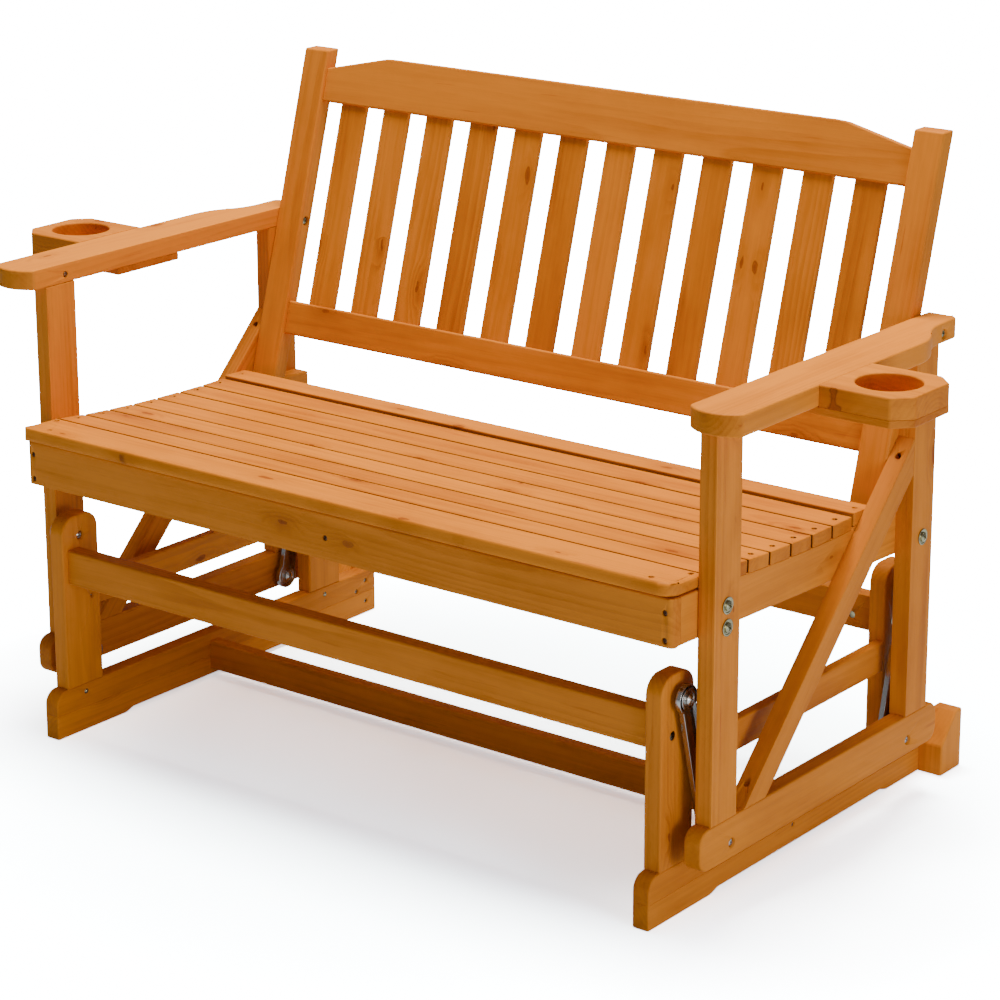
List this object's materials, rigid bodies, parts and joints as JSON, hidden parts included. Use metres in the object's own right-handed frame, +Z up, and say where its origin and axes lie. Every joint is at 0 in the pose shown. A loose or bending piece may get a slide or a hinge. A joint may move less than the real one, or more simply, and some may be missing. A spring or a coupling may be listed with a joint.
{
  "type": "glider swing",
  "caption": "Slatted wooden garden glider bench with arms and cup holders, hung on pivoting steel links from a low stationary base.",
  "frame": {"origin": "middle of the base on the ground, under the centre of the bounding box", "axes": "+X to the right as seen from in front of the seat, +Y from the front to the back, +Z up"},
  "size_m": [1.48, 0.696, 0.9],
  "materials": {
    "frame_wood": "satin",
    "slat_wood": "satin",
    "link_steel": "satin",
    "zinc_steel": "satin"
  },
  "bodies": {
    "base": {"base_rail_left": "frame_wood", "base_rail_right": "frame_wood", "base_runner_left": "frame_wood", "base_runner_right": "frame_wood", "stub_front_left": "frame_wood", "stub_front_right": "frame_wood", "stub_rear_left": "frame_wood", "stub_rear_right": "frame_wood", "cross_rail_front": "frame_wood", "cross_rail_rear": "frame_wood", "side_stretcher_left": "frame_wood", "side_stretcher_right": "frame_wood", "floor_stretcher": "frame_wood", "stop_block_left": "frame_wood", "stop_block_right": "frame_wood", "cross_bolts": "zinc_steel", "base_screws": "zinc_steel", "upper_pivot_bolts": "zinc_steel"},
    "link_front_left": {"link_front_left": "link_steel", "bearings_front_left": "zinc_steel"},
    "link_front_right": {"link_front_right": "link_steel", "bearings_front_right": "zinc_steel"},
    "link_rear_left": {"link_rear_left": "link_steel", "bearings_rear_left": "zinc_steel"},
    "link_rear_right": {"link_rear_right": "link_steel", "bearings_rear_right": "zinc_steel"},
    "swing": {"front_leg_left": "frame_wood", "front_leg_right": "frame_wood", "rear_post_left": "frame_wood", "rear_post_right": "frame_wood", "swing_rail_left": "frame_wood", "swing_rail_right": "frame_wood", "brace_left": "frame_wood", "brace_right": "frame_wood", "arm_left": "frame_wood", "arm_right": "frame_wood", "cup_block_left": "frame_wood", "cup_block_right": "frame_wood", "cup_board_left": "frame_wood", "cup_board_right": "frame_wood", "seat_rail_left": "frame_wood", "seat_rail_right": "frame_wood", "seat_rail_middle": "frame_wood", "front_apron": "frame_wood", "rear_apron": "frame_wood", "front_seat_slat": "slat_wood", "seat_slats": "slat_wood", "stile_left": "frame_wood", "stile_right": "frame_wood", "top_back_rail": "frame_wood", "low_back_rail": "frame_wood", "back_slats": "slat_wood", "lower_pivot_bolts": "zinc_steel", "frame_bolts": "zinc_steel", "frame_screws": "zinc_steel"}
  },
  "joints": [
    {"name": "glide", "type": "hinge", "parent": "base", "child": "link_front_left", "pos_m": [-0.533, -0.29023, 0.291], "axis": [1, 0, 0], "range_deg": [-11, 11]},
    {"name": "front_right_pivot", "type": "hinge", "parent": "base", "child": "link_front_right", "pos_m": [0.533, -0.29023, 0.291], "axis": [1, 0, 0], "range_deg": [-13, 13]},
    {"name": "rear_left_pivot", "type": "hinge", "parent": "base", "child": "link_rear_left", "pos_m": [-0.533, 0.22678, 0.291], "axis": [1, 0, 0], "range_deg": [-13, 13]},
    {"name": "rear_right_pivot", "type": "hinge", "parent": "base", "child": "link_rear_right", "pos_m": [0.533, 0.22678, 0.291], "axis": [1, 0, 0], "range_deg": [-13, 13]},
    {"name": "seat_tilt", "type": "hinge", "parent": "link_front_left", "child": "swing", "pos_m": [-0.533, -0.241, 0.095], "axis": [1, 0, 0], "range_deg": [-16.5, 16.5]}
  ],
  "couplings": [
    {"joint": "front_right_pivot", "follows": "glide", "ratio": 1},
    {"joint": "rear_left_pivot", "follows": "glide", "ratio": 1},
    {"joint": "rear_right_pivot", "follows": "glide", "ratio": 1},
    {"joint": "seat_tilt", "follows": "glide", "ratio": -1.2284}
  ]
}
